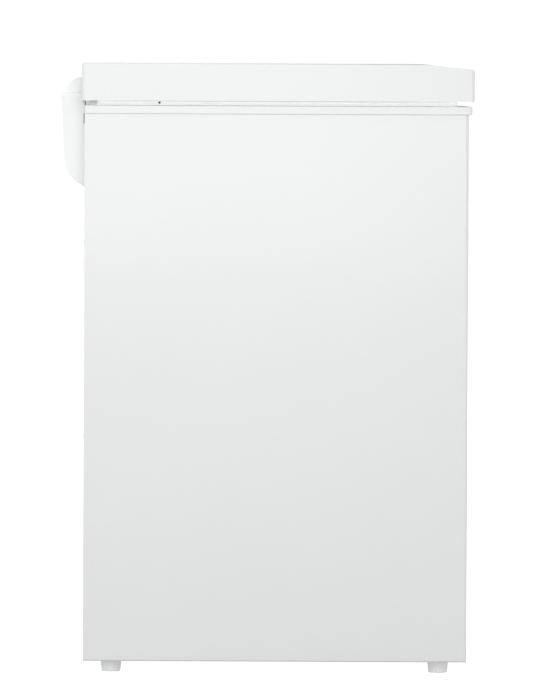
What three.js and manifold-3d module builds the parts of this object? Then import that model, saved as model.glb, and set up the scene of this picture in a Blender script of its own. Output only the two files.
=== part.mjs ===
// Compact top-opening chest freezer, rebuilt piece by piece. Millimetres, +Z up, front towards -Y.
import * as THREE from 'three';
import { mergeVertices } from 'three/addons/utils/BufferGeometryUtils.js';
import Module from 'manifold-3d';

const wasm = await Module();
wasm.setup();

// ---- driving dimensions --------------------------------------------------------------------
const GAP = 0.3;                       // clearance between touching pieces
const SHEET = 0.8;                     // steel sheet of the cabinet and lid
const CAB = { x: 306.5, front: -278.5, rear: 256.5, bottom: 16 };
const WALL = 54;                       // insulated wall, outer face to inner face
const ROOM = {                         // freezing compartment
  x: CAB.x - WALL, front: CAB.front + WALL, rear: CAB.rear - WALL,
  floor: 76, step: 291, stepX: 56.5, corner: 20,
};
const RIM = { bottom: 778.8, top: 790.4, overhang: 4.9, side: 1.6, plate: 2.5 };
const SKIN_TOP = RIM.top - RIM.plate - GAP;
const LID = { x: 312.5, front: -286.5, rear: 260.6, bottom: 797, top: 850, corner: 4 };
const SEAL = { x: 298, front: -263.5, rear: 250.4, width: 16 };
const PLUG = { x: 242, front: -210, rear: 190, depth: 12, skin: 1.6 };
const BAY = { x: 106.5, top: 240 };    // compressor bay, lower right corner of the cabinet
const PUMP = { x: 206, y: 60, rx: 66, ry: 88, bottom: 26, top: 186, plate: 38 };
const PANEL = { x0: 165, x1: 295, z0: 85, z1: 150, knobX: 205, lampX: [255, 275], depth: 14 };
const VENT = { y0: 60, y1: 200, z0: 60, z1: 180 };
const DRAIN = { x: -200, y: -190, z: 52, r: 10, bore: 6.5 };
const FOOT = { x: 274.5, front: -239, rear: 217.5, top: 15.7, base: 14.2, ribs: 18 };
const BASKET = { x0: 25, x1: 235, front: -216, rear: 194, bottom: 590, top: 778, wire: 3 };
const HINGE = { x: 240, y: CAB.rear + 4.5, z: 808, half: 33, open: 70, ratio: 4.5 };
const EVAP = { r: 4, levels: [140, 190, 240, 350, 430, 510, 590, 670, 745], x: -40 };
const COND = { r: 3, levels: [300, 385, 470, 555, 640, 725], x: 200 };

// ---- materials -----------------------------------------------------------------------------
const paint = (color, roughness, metalness = 0) =>
  new THREE.MeshStandardMaterial({ color, roughness, metalness });
const MAT = {
  white: paint(0xf2f3f3, 0.35),
  plastic: paint(0xeeefef, 0.45),
  liner: paint(0xe6e8ea, 0.4),
  foam: paint(0xe9dfb4, 0.95),
  seal: paint(0xe4e5e4, 0.7),
  galvanised: paint(0xb4b8ba, 0.45, 0.8),
  steel: paint(0x9a9ea1, 0.35, 0.9),
  black: paint(0x1c1d1e, 0.45),
  copper: paint(0xb87333, 0.35, 0.9),
  rubber: paint(0x26272a, 0.85),
  grey: paint(0xc9cccd, 0.5),
  green: paint(0x3fae5a, 0.25),
  amber: paint(0xe08a2c, 0.25),
};

// ---- solid helpers -------------------------------------------------------------------------
const group = new THREE.Group();
group.name = 'chest_freezer';

function solid(geometry) {
  const bare = geometry.clone();
  bare.deleteAttribute('normal');
  bare.deleteAttribute('uv');
  const merged = mergeVertices(bare, 1e-4);
  return new wasm.Manifold(new wasm.Mesh({
    numProp: 3,
    vertProperties: Float32Array.from(merged.attributes.position.array),
    triVerts: Uint32Array.from(merged.index.array),
  }));
}

function add(name, body, material) {
  const mesh = body.getMesh();
  const geometry = new THREE.BufferGeometry();
  geometry.setAttribute('position', new THREE.BufferAttribute(mesh.vertProperties, 3));
  geometry.setIndex(new THREE.BufferAttribute(mesh.triVerts, 1));
  geometry.computeVertexNormals();
  const part = new THREE.Mesh(geometry, material);
  part.name = name;
  group.add(part);
}

const join = (...bodies) => bodies.reduce((a, b) => a.add(b));

const box = (x0, x1, y0, y1, z0, z1) => solid(new THREE.BoxGeometry(x1 - x0, y1 - y0, z1 - z0)
  .translate((x0 + x1) / 2, (y0 + y1) / 2, (z0 + z1) / 2));

// basis of an extrusion: outline (u, v) and direction, per axis
const BASIS = {
  x: new THREE.Matrix4().set(0, 0, 1, 0, 1, 0, 0, 0, 0, 1, 0, 0, 0, 0, 0, 1),
  y: new THREE.Matrix4().set(1, 0, 0, 0, 0, 0, -1, 0, 0, 1, 0, 0, 0, 0, 0, 1),
  z: new THREE.Matrix4(),
};

// outline points: (y,z) along x, (x,z) along y, (x,y) along z
function prism(axis, outline, from, to, bevel = 0) {
  const shape = new THREE.Shape(outline.map(([u, v]) => new THREE.Vector2(u, v)));
  const geometry = new THREE.ExtrudeGeometry(shape, {
    depth: to - from - 2 * bevel, bevelEnabled: bevel > 0, bevelThickness: bevel,
    bevelSize: bevel, bevelOffset: -bevel, bevelSegments: 2, curveSegments: 8,
  });
  const start = axis === 'y' ? -to : from;
  return solid(geometry.translate(0, 0, start + bevel).applyMatrix4(BASIS[axis]));
}

function cylinder(axis, r, from, to, u, v, sides = 24, rTo = r) {
  const length = to - from;
  const geometry = new THREE.CylinderGeometry(rTo, r, length, sides).translate(0, (from + to) / 2, 0);
  if (axis === 'x') geometry.rotateZ(-Math.PI / 2).translate(0, u, v);
  if (axis === 'y') geometry.translate(u, 0, v);
  if (axis === 'z') geometry.rotateX(Math.PI / 2).translate(u, v, 0);
  return solid(geometry);
}

function arc(cu, cv, r, a0, a1, steps) {
  return Array.from({ length: steps + 1 }, (_, i) => {
    const a = THREE.MathUtils.degToRad(a0 + (a1 - a0) * i / steps);
    return [cu + r * Math.cos(a), cv + r * Math.sin(a)];
  });
}

// rounded rectangle; radii in order: low-low, high-low, high-high, low-high
function roundRect(u0, u1, v0, v1, radii, steps = 4) {
  const [a, b, c, d] = Array.isArray(radii) ? radii : [radii, radii, radii, radii];
  const corner = (u, v, r, start, su, sv) =>
    (r > 0 ? arc(u + su * r, v + sv * r, r, start, start + 90, steps) : [[u, v]]);
  return [
    ...corner(u0, v0, a, 180, 1, 1), ...corner(u1, v0, b, 270, -1, 1),
    ...corner(u1, v1, c, 0, -1, -1), ...corner(u0, v1, d, 90, 1, -1),
  ];
}

// polyline with softened corners, swept with a round section
class Route extends THREE.Curve {
  constructor(points) {
    super();
    this.points = points;
  }
  getSpacedPoints() {
    return this.points;
  }
  getTangentAt(t, target = new THREE.Vector3()) {
    const i = Math.round(t * (this.points.length - 1));
    const a = this.points[Math.max(i - 1, 0)];
    const b = this.points[i];
    const c = this.points[Math.min(i + 1, this.points.length - 1)];
    const before = b.clone().sub(a).normalize();
    return target.copy(c.clone().sub(b).normalize().add(before)).normalize();
  }
}

function soften(corners, bend) {
  const pts = corners.map((c) => new THREE.Vector3(...c));
  const route = [pts[0]];
  for (let i = 1; i < pts.length - 1; i += 1) {
    const [a, b, c] = [pts[i - 1], pts[i], pts[i + 1]];
    const reach = Math.min(bend, a.distanceTo(b) / 2.2, b.distanceTo(c) / 2.2);
    const p = b.clone().add(a.clone().sub(b).setLength(reach));
    const q = b.clone().add(c.clone().sub(b).setLength(reach));
    route.push(p, q);
  }
  route.push(pts[pts.length - 1]);
  return route;
}

function sweep(points, r, sides) {
  const shape = new THREE.Shape(arc(0, 0, r, 0, 360, sides).slice(0, -1)
    .map(([u, v]) => new THREE.Vector2(u, v)));
  return solid(new THREE.ExtrudeGeometry(shape, {
    steps: points.length - 1, extrudePath: new Route(points), bevelEnabled: false,
  }));
}

const pipe = (corners, r, bend, sides = 6) => sweep(soften(corners, bend), r, sides);

// ---- cabinet shell -------------------------------------------------------------------------
// the front corners are bent to a small radius and the back stays open for the rear panel
const cabinetPlan = (inset, r) => roundRect(
  -CAB.x + inset, CAB.x - inset, CAB.front + inset, CAB.rear - (inset ? -20 : 0), [r, r, 0, 0]);

function outerWrap() {
  const shell = prism('z', cabinetPlan(0, 4), CAB.bottom, SKIN_TOP)
    .subtract(prism('z', cabinetPlan(SHEET, 3.2), CAB.bottom - 1, SKIN_TOP + 1));
  const cuts = join(
    box(PANEL.x0, PANEL.x1, CAB.front - 5, CAB.front + 5, PANEL.z0, PANEL.z1),
    box(CAB.x - 5, CAB.x + 5, VENT.y0, VENT.y1, VENT.z0, VENT.z1),
    cylinder('y', 16, CAB.front - 5, CAB.front + 5, DRAIN.x, DRAIN.z),
  );
  add('outer_wrap', shell.subtract(cuts), MAT.white);
}

function backPanel() {
  const side = CAB.x - SHEET - GAP;
  const plate = box(-side, side, CAB.rear - 0.7, CAB.rear, CAB.bottom + 0.5, SKIN_TOP);
  add('back_panel', plate.subtract(box(118, 294, CAB.rear - 5, CAB.rear + 5, 28, 226)),
    MAT.white);
}

function basePan() {
  const side = CAB.x - SHEET - GAP;
  const holes = join(...[FOOT.front, FOOT.rear].map((y) => cylinder('z', 4.6, 0, 40, -FOOT.x, y)));
  const pan = prism('z', roundRect(-side, BAY.x - GAP, CAB.front + 1.1, CAB.rear - 1, [4, 0, 0, 0]),
    16.2, 17.2);
  add('base_pan', pan.subtract(holes), MAT.galvanised);
}

function compressorTray() {
  const side = CAB.x - SHEET - GAP;
  const holes = join(...[FOOT.front, FOOT.rear].map((y) => cylinder('z', 4.6, 0, 40, FOOT.x, y)));
  const ribs = join(...[-200, -120, -60, 180].map((y) => box(130, 285, y, y + 10, 18, 20.5)));
  const plate = prism('z', roundRect(BAY.x, side, CAB.front + 1.1, CAB.rear - 1, [0, 4, 0, 0]),
    16.2, 18.2);
  add('compressor_tray', plate.add(ribs).subtract(holes), MAT.galvanised);
}

function bayPanel() {
  const side = CAB.x - SHEET - GAP;
  const [y0, y1] = [CAB.front + 1.1, CAB.rear - 1];
  const wall = box(BAY.x + 0.1, BAY.x + 0.1 + SHEET, y0 + 1, y1 - 1, 18.5, BAY.top - 0.4);
  const roof = prism('z', roundRect(BAY.x, side, y0, y1, [0, 4, 0, 0]), BAY.top - SHEET, BAY.top);
  const end = COND.x + 12 * COND.levels.length;
  const passages = join(
    cylinder('x', 6, 100, 112, tubeRear(), 100, 16),
    cylinder('x', 6, 100, 112, tubeRear() + 12, 88, 16),
    box(COND.x - 6, COND.x + 6, condenserRear() - 6, CAB.rear + 5, 230, 250),
    box(end - 6, end + 6, condenserRear() - 18, CAB.rear + 5, 230, 250),
  );
  add('bay_panel', wall.add(roof).subtract(passages), MAT.galvanised);
}

// deep part of the compartment plus the part above the compressor step
function roomSolid(grow, top) {
  const { x, front, rear, floor, step, stepX, corner } = ROOM;
  const plan = (x1) => roundRect(-x - grow, x1 + grow, front - grow, rear + grow, corner + grow);
  return prism('z', plan(stepX), floor - grow, top).add(prism('z', plan(x), step - grow, top));
}

function innerLiner() {
  const shell = roomSolid(1, SKIN_TOP).subtract(roomSolid(0, SKIN_TOP + 5));
  add('inner_liner', shell.subtract(cylinder('z', 8, 60, 90, DRAIN.x, DRAIN.y)), MAT.liner);
}

function ringSlot(outer, inner, z, half) {
  const [x0, x1, y0, y1] = outer;
  const [i0, i1, j0, j1] = inner;
  return box(x0, x1, y0, y1, z - half, z + half).subtract(box(i0, i1, j0, j1, z - 50, z + 50));
}

function foamPockets() {
  const r = EVAP.r + 1.5;
  const out = 1 + 2 * r;
  const slots = EVAP.levels.map((z) => {
    const xr = z < ROOM.step ? ROOM.stepX : ROOM.x;
    return box(-ROOM.x - out, xr + out, ROOM.front - out, ROOM.rear + out, z - r, z + r);
  });
  const x1 = EVAP.x + 12 * EVAP.levels.length;
  slots.push(box(EVAP.x - 13, x1 + 9, ROOM.rear, tubeRear() + r, 93, 751));
  slots.push(box(EVAP.x - 6, BAY.x + 5, ROOM.rear, tubeRear() + r, 93, 107));
  slots.push(box(x1 - 9, x1 + 14, ROOM.rear, tubeRear() + 12 + r, 81, 751));
  slots.push(box(x1 - 6, BAY.x + 5, tubeRear() + 12 - r, tubeRear() + 12 + r, 81, 95));
  const side = CAB.x - SHEET - GAP;
  const c = 2 * COND.r + 8;
  COND.levels.forEach((z) => slots.push(ringSlot(
    [-side - 1, side + 1, CAB.front, CAB.rear],
    [-side + c, side - c, CAB.front + 1.4 + c, CAB.rear - 1 - c], z, COND.r + 1.5)));
  const end = COND.x + 12 * COND.levels.length;
  slots.push(box(COND.x - 8, end + 8, CAB.rear - 1 - c, CAB.rear, BAY.top - 1, 732));
  slots.push(box(end - 7, end + 7, condenserRear() - 18, CAB.rear, BAY.top - 1, 732));
  return join(...slots);
}

function cabinetFoam() {
  const side = CAB.x - SHEET - 2 * GAP;
  const [y0, y1] = [CAB.front + 1.3, CAB.rear - 1.2];
  const block = prism('z', roundRect(-side, side, y0, y1, [3, 3, 0, 0]), 17.6, SKIN_TOP);
  const hollows = join(
    roomSolid(1 + GAP, SKIN_TOP + 5),
    box(BAY.x - GAP, CAB.x + 5, CAB.front - 5, CAB.rear + 5, 0, BAY.top + GAP),
    ...[FOOT.front, FOOT.rear].map((y) => cylinder('z', 6, 0, 36, -FOOT.x, y, 12)),
    cylinder('z', DRAIN.r + GAP, DRAIN.z, 80, DRAIN.x, DRAIN.y),
    cylinder('y', DRAIN.r + GAP, CAB.front - 1, DRAIN.y + DRAIN.r + 1, DRAIN.x, DRAIN.z),
    cylinder('y', 16, CAB.front - 1, CAB.front + 6.6, DRAIN.x, DRAIN.z),
    foamPockets(),
  );
  add('cabinet_foam', block.subtract(hollows), MAT.foam);
}

function cabinetRim() {
  const x = CAB.x + RIM.side;
  const body = prism('z', roundRect(-x, x, CAB.front - RIM.overhang, CAB.rear, [5, 5, 2, 2]),
    RIM.bottom, RIM.top, 1.2);
  const under = prism('z', roundRect(-CAB.x - GAP, CAB.x + GAP, CAB.front - GAP, CAB.rear + 20,
    [4, 4, 0, 0]), RIM.bottom - 5, RIM.top - RIM.plate);
  const opening = prism('z', roundRect(-ROOM.x, ROOM.x, ROOM.front, ROOM.rear, ROOM.corner),
    RIM.bottom - 5, RIM.top + 5);
  add('cabinet_rim', body.subtract(under).subtract(opening), MAT.plastic);
}

// ---- refrigeration circuit -----------------------------------------------------------------
const tubeRear = () => ROOM.rear + 1 + EVAP.r + 1.3;
const condenserRear = () => CAB.rear - 1 - COND.r - 1.3;

// flat turns round a rectangle, joined by short risers that step sideways along the rear side
function coilRoute(levels, start, limits) {
  const route = [];
  levels.forEach((z, i) => {
    const { xl, xr, yf, yr } = limits(z);
    const x = start + 12 * i;
    route.push([x, yr, z], [xl, yr, z], [xl, yf, z], [xr, yf, z], [xr, yr, z], [x + 12, yr, z]);
  });
  return route;
}

function evaporatorTube() {
  const out = 1 + EVAP.r + 1.3;
  const yr = tubeRear();
  const coil = coilRoute(EVAP.levels, EVAP.x, (z) => ({
    xl: -ROOM.x - out, xr: (z < ROOM.step ? ROOM.stepX : ROOM.x) + out, yf: ROOM.front - out, yr,
  }));
  const x = EVAP.x + 12 * EVAP.levels.length;
  const top = EVAP.levels[EVAP.levels.length - 1];
  const route = [[117, yr, 100], [EVAP.x, yr, 100], ...coil, [x, yr + 12, top],
    [x, yr + 12, 88], [117, yr + 12, 88]];
  add('evaporator_tube', pipe(route, EVAP.r, 12), MAT.grey);
}

function condenserTube() {
  const side = CAB.x - SHEET - COND.r - 1.3;
  const yr = condenserRear();
  const coil = coilRoute(COND.levels, COND.x, () => ({
    xl: -side, xr: side, yf: CAB.front + SHEET + COND.r + 1.3, yr,
  }));
  const x = COND.x + 12 * COND.levels.length;
  const top = COND.levels[COND.levels.length - 1];
  add('condenser_tube', pipe([[COND.x, yr, 222], ...coil, [x, yr - 12, top], [x, yr - 12, 212]],
    COND.r, 8), MAT.copper);
}

function pumpSolid(grow) {
  const { rx, ry, bottom, top } = PUMP;
  const h = top - bottom;
  const profile = [[0, 0], [0.5, 0], [0.82, 0.05], [0.96, 0.16], [1, 0.34], [1, 0.62],
    [0.93, 0.82], [0.74, 0.94], [0.42, 1], [0, 1]]
    .map(([r, z]) => new THREE.Vector2(r, z * (h + 2 * grow) - grow));
  return solid(new THREE.LatheGeometry(profile, 28).rotateX(Math.PI / 2)
    .scale(rx + grow, ry + grow, 1).translate(PUMP.x, PUMP.y, bottom));
}

const pumpFeet = () => [-1, 1].flatMap((i) => [-1, 1].map((j) => [PUMP.x + 60 * i, PUMP.y + 80 * j]));

function compressor() {
  const { x, y, plate } = PUMP;
  const holes = join(...pumpFeet().map(([u, v]) => cylinder('z', 5, 30, 50, u, v, 16)));
  const feet = prism('z', roundRect(x - 76, x + 76, y - 96, y + 96, 12), plate, plate + 3);
  add('compressor_shell', pumpSolid(0).add(feet).subtract(holes), MAT.black);
  const cover = box(x - 28, x + 28, y - 112, y - 70, 72, 132);
  add('compressor_terminal_cover', cover.subtract(pumpSolid(GAP)), MAT.grey);
  pumpFeet().forEach(([u, v], i) => {
    const grommet = cylinder('z', 12, 18.6, plate - GAP, u, v, 20)
      .add(cylinder('z', 4.6, plate - 1, plate + 6, u, v, 20));
    add(`compressor_grommet_${i + 1}`, grommet, MAT.rubber);
  });
}

function refrigerantLines() {
  const yr = tubeRear();
  const yc = condenserRear();
  const end = COND.x + 12 * COND.levels.length;
  const keepOut = pumpSolid(GAP);
  const discharge = pipe([[PUMP.x + 10, PUMP.y + 40, 150], [PUMP.x + 30, 165, 150],
    [COND.x, yc - 40, 180], [COND.x, yc, 196], [COND.x, yc, 222 - GAP]], 3, 10, 8);
  add('discharge_line', discharge.subtract(keepOut), MAT.copper);
  const suction = pipe([[PUMP.x - 10, PUMP.y + 40, 130], [150, 160, 130], [135, yr + 12, 110],
    [130, yr + 12, 88], [117 + GAP, yr + 12, 88]], 4, 10, 8);
  add('suction_line', suction.subtract(keepOut), MAT.copper);
  const drier = join(
    cylinder('z', 9.5, 120, 190, end, yc - 12, 20),
    cylinder('z', 9.5, 190, 200, end, yc - 12, 20, 4), cylinder('z', 4, 110, 120, end, yc - 12, 20, 9.5),
    cylinder('z', 4, 199, 212 - GAP, end, yc - 12, 20),
  );
  add('filter_drier', drier, MAT.copper);
  add('capillary_tube', pipe([[end, yc - 12, 110 - GAP], [end, yc - 12, 60], [170, yc - 12, 50],
    [130, yr, 60], [126, yr, 100], [117 + GAP, yr, 100]], 1.3, 10, 6), MAT.copper);
}

// ---- vents, controls, drain and feet -------------------------------------------------------
function rearCover() {
  const y = CAB.rear + GAP;
  let plate = box(110, 302, y, y + 1, 20.5, 234);
  for (let i = 0; i < 9; i += 1) {
    const z = 62 + i * 18;
    plate = plate.subtract(join(box(128, 200, y - 2, y + 3, z, z + 6),
      box(212, 284, y - 2, y + 3, z, z + 6)));
  }
  add('rear_cover', plate.subtract(cylinder('y', 7, y - 2, y + 3, 140, 42)), MAT.galvanised);
  const gland = cylinder('y', 6.6, 246, y + 2, 140, 42).add(cylinder('y', 9, y + 1.3, y + 4, 140, 42))
    .subtract(cylinder('y', 3.6, 240, 270, 140, 42));
  add('cable_gland', gland, MAT.rubber);
}

function sideVentGrille() {
  const { y0, y1, z0, z1 } = VENT;
  let plate = box(CAB.x - 3, CAB.x, y0 + GAP, y1 - GAP, z0 + GAP, z1 - GAP)
    .add(box(CAB.x - 3, CAB.x - SHEET - GAP, y0 - 6, y1 + 6, z0 - 6, z1 + 6));
  for (let z = z0 + 9; z < z1 - 10; z += 11.4) {
    plate = plate.subtract(box(CAB.x - 9, CAB.x + 9, y0 + 8, y1 - 8, z, z + 5.4));
  }
  add('side_vent_grille', plate, MAT.plastic);
}

function controlPanel() {
  const y = CAB.front;
  const { x0, x1, z0, z1, knobX, lampX, depth } = PANEL;
  const z = (z0 + z1) / 2;
  const body = prism('y', roundRect(x0 + GAP, x1 - GAP, z0 + GAP, z1 - GAP, 3), y, y + depth)
    .add(box(x0 - 6, x1 + 6, y + SHEET + GAP, y + 3, z0 - 6, z1 + 6));
  const hollows = join(
    cylinder('y', 20, y - 2, y + depth - 2, knobX, z, 32), cylinder('y', 3.4, y, y + 30, knobX, z),
    ...lampX.map((x) => cylinder('y', 4.3, y - 2, y + 30, x, z, 16)),
  );
  add('control_bezel', body.subtract(hollows), MAT.plastic);
  const shaft = cylinder('y', 3, y + 5, y + depth + 1, knobX, z, 16);
  add('thermostat_body', box(knobX - 20, knobX + 20, y + depth + GAP, y + 42, z - 20, z + 20)
    .add(shaft), MAT.grey);
  const knob = cylinder('y', 17, y + 7, y + depth - 2 - GAP, knobX, z, 32)
    .add(box(knobX - 4, knobX + 4, y + 0.6, y + 8, z - 16, z + 16));
  add('thermostat_knob', knob.subtract(cylinder('y', 3.3, y + 4.5, y + 30, knobX, z, 16)), MAT.grey);
  lampX.forEach((x, i) => add(['power_lamp_lens', 'run_lamp_lens'][i],
    cylinder('y', 4, y + 0.3, y + 20, x, z, 16), [MAT.green, MAT.amber][i]));
}

function drainParts() {
  const { x, y, z, r, bore } = DRAIN;
  const outlet = CAB.front + 6.4;
  const tube = cylinder('z', r, z, ROOM.floor - 1 - GAP, x, y).add(cylinder('y', r, outlet, y + r, x, z))
    .subtract(cylinder('z', bore, z, 90, x, y)).subtract(cylinder('y', bore, outlet - 5, y, x, z));
  add('drain_tube', tube, MAT.grey);
  const plug = cylinder('z', 14, ROOM.floor + GAP, ROOM.floor + 3, x, y)
    .add(cylinder('z', bore - 0.4, 66, ROOM.floor + 1, x, y));
  add('drain_plug', plug, MAT.plastic);
  const cap = cylinder('y', 15.7, CAB.front, CAB.front + 6, x, z)
    .add(cylinder('y', bore - 0.4, CAB.front + 5, CAB.front + 16, x, z));
  add('drain_cap', cap, MAT.plastic);
}

// fluted, slightly tapered foot with its threaded stud
function levellingFoot(name, x, y) {
  const outline = [];
  for (let i = 0; i < FOOT.ribs * 2; i += 1) {
    const a = Math.PI * i / FOOT.ribs;
    const r = FOOT.top - (i % 2 ? 0.9 : 0);
    outline.push(new THREE.Vector2(r * Math.cos(a), r * Math.sin(a)));
  }
  const skirt = new THREE.ExtrudeGeometry(new THREE.Shape(outline), { depth: 14, bevelEnabled: false });
  const at = skirt.attributes.position;
  for (let i = 0; i < at.count; i += 1) {
    const k = at.getZ(i) < 1 ? FOOT.base / FOOT.top : 1;
    at.setXY(i, at.getX(i) * k, at.getY(i) * k);
  }
  const foot = join(solid(skirt.translate(0, 0, 1.8)), cylinder('z', 11, 0, 1.9, 0, 0, 24, 12.4),
    cylinder('z', 4, 15, 32, 0, 0, 16));
  add(name, foot.translate([x, y, 0]), MAT.rubber);
}

function feet() {
  levellingFoot('foot_front_left', -FOOT.x, FOOT.front);
  levellingFoot('foot_front_right', FOOT.x, FOOT.front);
  levellingFoot('foot_rear_left', -FOOT.x, FOOT.rear);
  levellingFoot('foot_rear_right', FOOT.x, FOOT.rear);
}

// ---- hanging basket ------------------------------------------------------------------------
const spread = (a, b, n) => Array.from({ length: n }, (_, i) => a + (b - a) * i / (n - 1));

// wires cross a little proud of each other, as welded wires do
function basket() {
  const { x0, x1, front, rear, bottom, top, wire: w } = BASKET;
  const [a0, a1, b0, b1] = [x0 + w + 1, x1 - w - 1, front + w + 1, rear - w - 1];
  const proud = 0.7;
  const floor = join(
    ...spread(b0 + 0.4, b1 - w - 0.4, 5).map((y) => box(a0, a1, y, y + w, bottom, bottom + w)),
    ...spread(a0 + 0.4, a1 - w - 0.4, 6).map((x) => box(x, x + w, b0, b1, bottom + proud,
      bottom + w + proud)));
  add('basket_floor', floor, MAT.white);
  const wall = (make, u0, u1, uprights) => join(
    ...[bottom + 0.4, bottom + 92, top - w - 0.4].map((z) => make(u0, u1, z, z + w, 0)),
    ...spread(u0 + 0.4, u1 - w - 0.4, uprights).map((u) => make(u, u + w, bottom, top, proud)));
  const across = (y) => (u0, u1, z0, z1, d) => box(u0, u1, y + d, y + w + d, z0, z1);
  const along = (x) => (v0, v1, z0, z1, d) => box(x + d, x + w + d, v0, v1, z0, z1);
  add('basket_front', wall(across(front), x0, x1, 6), MAT.white);
  add('basket_rear', wall(across(rear - w - proud), x0, x1, 6), MAT.white);
  add('basket_left', wall(along(x0), b0, b1, 9), MAT.white);
  add('basket_right', wall(along(x1 - w - proud), b0, b1, 9), MAT.white);
  const z = RIM.top + GAP;
  const hanger = (near, far) => {
    const [y0, y1] = [Math.min(near, far), Math.max(near, far)];
    const tip = far < near ? y0 + 0.4 : y1 - w - 0.4;
    const drop = far < near ? near - w - 0.4 : near + 0.4;
    return join(box(75, 185, tip, tip + w, z, z + w),
      box(75, 185, drop, drop + w, 745, 745 + w),
      ...[76, 184 - w].flatMap((x) => [box(x, x + w, y0, y1, z + 0.4, z + w + 0.4),
        box(x + 0.4, x + w + 0.4, drop - 0.2, drop + w - 0.2, 744, z + w - 0.4)]));
  };
  add('basket_hanger_front', hanger(front - GAP, front - 20), MAT.white);
  add('basket_hanger_rear', hanger(rear + GAP, rear + 20), MAT.white);
}

// ---- lid -----------------------------------------------------------------------------------
// side section: flat top that falls away gently over the front 74 mm
function lidSolid(inset, bottom) {
  const { x, front, rear, top, corner } = LID;
  const [f, b, t] = [front + inset, rear - inset, top - inset];
  const section = [[f, bottom], [b, bottom], ...arc(b - 4, t - 4, 4, 0, 90, 3),
    [front + 74, t], [front + 62, t - 1.3], [front + 48, t - 3.1], [front + 34, t - 4.7],
    [front + 20, t - 5.8], [front + 7, t - 7.2], [f + 3, t - 7.9], [f + 0.9, t - 8.9], [f, t - 11]];
  const w = x - inset;
  const r = Math.max(1.8 - inset, 0.5);
  const cross = [[w, bottom], ...arc(w - r, t - r, r, 0, 90, 3), ...arc(r - w, t - r, r, 90, 180, 3),
    [-w, bottom]];
  const plan = roundRect(-w, w, f, b, corner, 3);
  return prism('x', section, -w - 5, w + 5).intersect(prism('y', cross, f - 5, b + 5))
    .intersect(prism('z', plan, bottom - 5, top + 5));
}

const hingePockets = (grow) => join(...[-1, 1].map((s) => box(
  s * HINGE.x - 29.5 - grow, s * HINGE.x + 29.5 + grow,
  HINGE.y - 10 - grow, HINGE.y + 20, HINGE.z - 20, HINGE.z + 14 + grow)));

function plugSolid(inset, from, to) {
  return prism('z', roundRect(-PLUG.x + inset, PLUG.x - inset, PLUG.front + inset,
    PLUG.rear - inset, 24 - inset), from, to);
}

function lid() {
  const { bottom } = LID;
  const low = bottom - PLUG.depth;
  const skin = lidSolid(0, bottom).subtract(lidSolid(SHEET, bottom - 5));
  add('lid_outer', skin.subtract(hingePockets(0)), MAT.white);
  const inset = SHEET + GAP;
  const core = lidSolid(inset, bottom + PLUG.skin + GAP)
    .add(plugSolid(PLUG.skin + GAP, low + PLUG.skin + GAP, bottom + 5));
  add('lid_foam', core.subtract(hingePockets(0)), MAT.foam);
  const sheet = lidSolid(inset, bottom).intersect(box(-400, 400, -400, 400, bottom, bottom + PLUG.skin))
    .add(plugSolid(0, low, bottom + 0.5)).subtract(plugSolid(PLUG.skin, low + PLUG.skin, bottom + 9));
  add('lid_liner', sheet.subtract(hingePockets(GAP)), MAT.liner);
}

function lidGasket() {
  const { x, front, rear, width: w } = SEAL;
  const ring = prism('z', roundRect(-x, x, front, rear, 6), RIM.top + GAP, LID.bottom - GAP, 1.5);
  add('lid_gasket', ring.subtract(prism('z', roundRect(-x + w, x - w, front + w, rear - w, 3),
    RIM.top - 5, LID.bottom + 5)), MAT.seal);
}

// ---- sprung hinge, drawn about its own pivot (y rearwards, z up) ---------------------------
const PIN = 2.4;
const ROD = { y: 4.7, r: 1.8, reach: -94 };
const BRIDGE = { top: -33.6, bottom: -36 };

function follower(grow) {
  const bar = (x0, x1, z0, z1) =>
    box(x0 - grow, x1 + grow, 2.9 - grow, 6.5 + grow, z0 - grow, z1 + grow);
  return join(bar(-9, 9, 11, 13), bar(-9, 9, -9, -6), bar(-9, -6.5, -9, 13), bar(6.5, 9, -9, 13));
}

function hingeBase() {
  const plate = box(-25, 25, -4.2, -1.7, -125, -22);
  const cheek = [[-4.2, -104], [10, -104], [14, -98], [14, -30], [5, -22], [5, 0], [-4.2, 0]];
  const ears = [-23, 21].map((x) => prism('x', cheek, x, x + 2).add(cylinder('x', 5.5, x, x + 2, 0, 0)));
  const bridge = box(-22, 22, -2, 13.5, BRIDGE.bottom, BRIDGE.top);
  return join(plate, bridge, ...ears).subtract(cylinder('x', PIN + GAP, -30, 30, 0, 0, 20))
    .subtract(cylinder('z', 2.6, -40, -30, 0, ROD.y, 16));
}

// the cam that pulls the spring rod is cut by the follower at every angle of the lid
function hingeArm() {
  const plate = box(-26, 26, -9.7, -7.7, -9.4, 13.4);
  const ear = [[-8, -8], [-8, 12], [2, 5], [2, -5]];
  const ears = [-18, 16].map((x) => prism('x', ear, x, x + 2).add(cylinder('x', 5.5, x, x + 2, 0, 0)));
  const lobe = [[-8, -5.5], [0, -5.5], [5.5, 0], [6.4, 9.6], [4.7, 12.5], [-3.5, 12.5], [-5, 3.4],
    [-8, 3.4]];
  let cam = prism('x', lobe, -5, 5).add(cylinder('x', 5.5, -5, 5, 0, 0));
  for (let angle = 0; angle <= HINGE.open; angle += 5) {
    const drop = HINGE.ratio * THREE.MathUtils.degToRad(angle);
    cam = cam.subtract(follower(GAP).translate([0, 0, -drop]).rotate([angle, 0, 0]));
  }
  const offcuts = cam.decompose().sort((a, b) => b.volume() - a.volume());
  return join(plate, offcuts[0], ...ears).subtract(cylinder('x', PIN + GAP, -30, 30, 0, 0, 20));
}

const hingePin = () => join(cylinder('x', PIN, -24, 24, 0, 0, 20),
  cylinder('x', 4, -25, -23 - GAP, 0, 0, 20), cylinder('x', 4, 23 + GAP, 25, 0, 0, 20));

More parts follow.
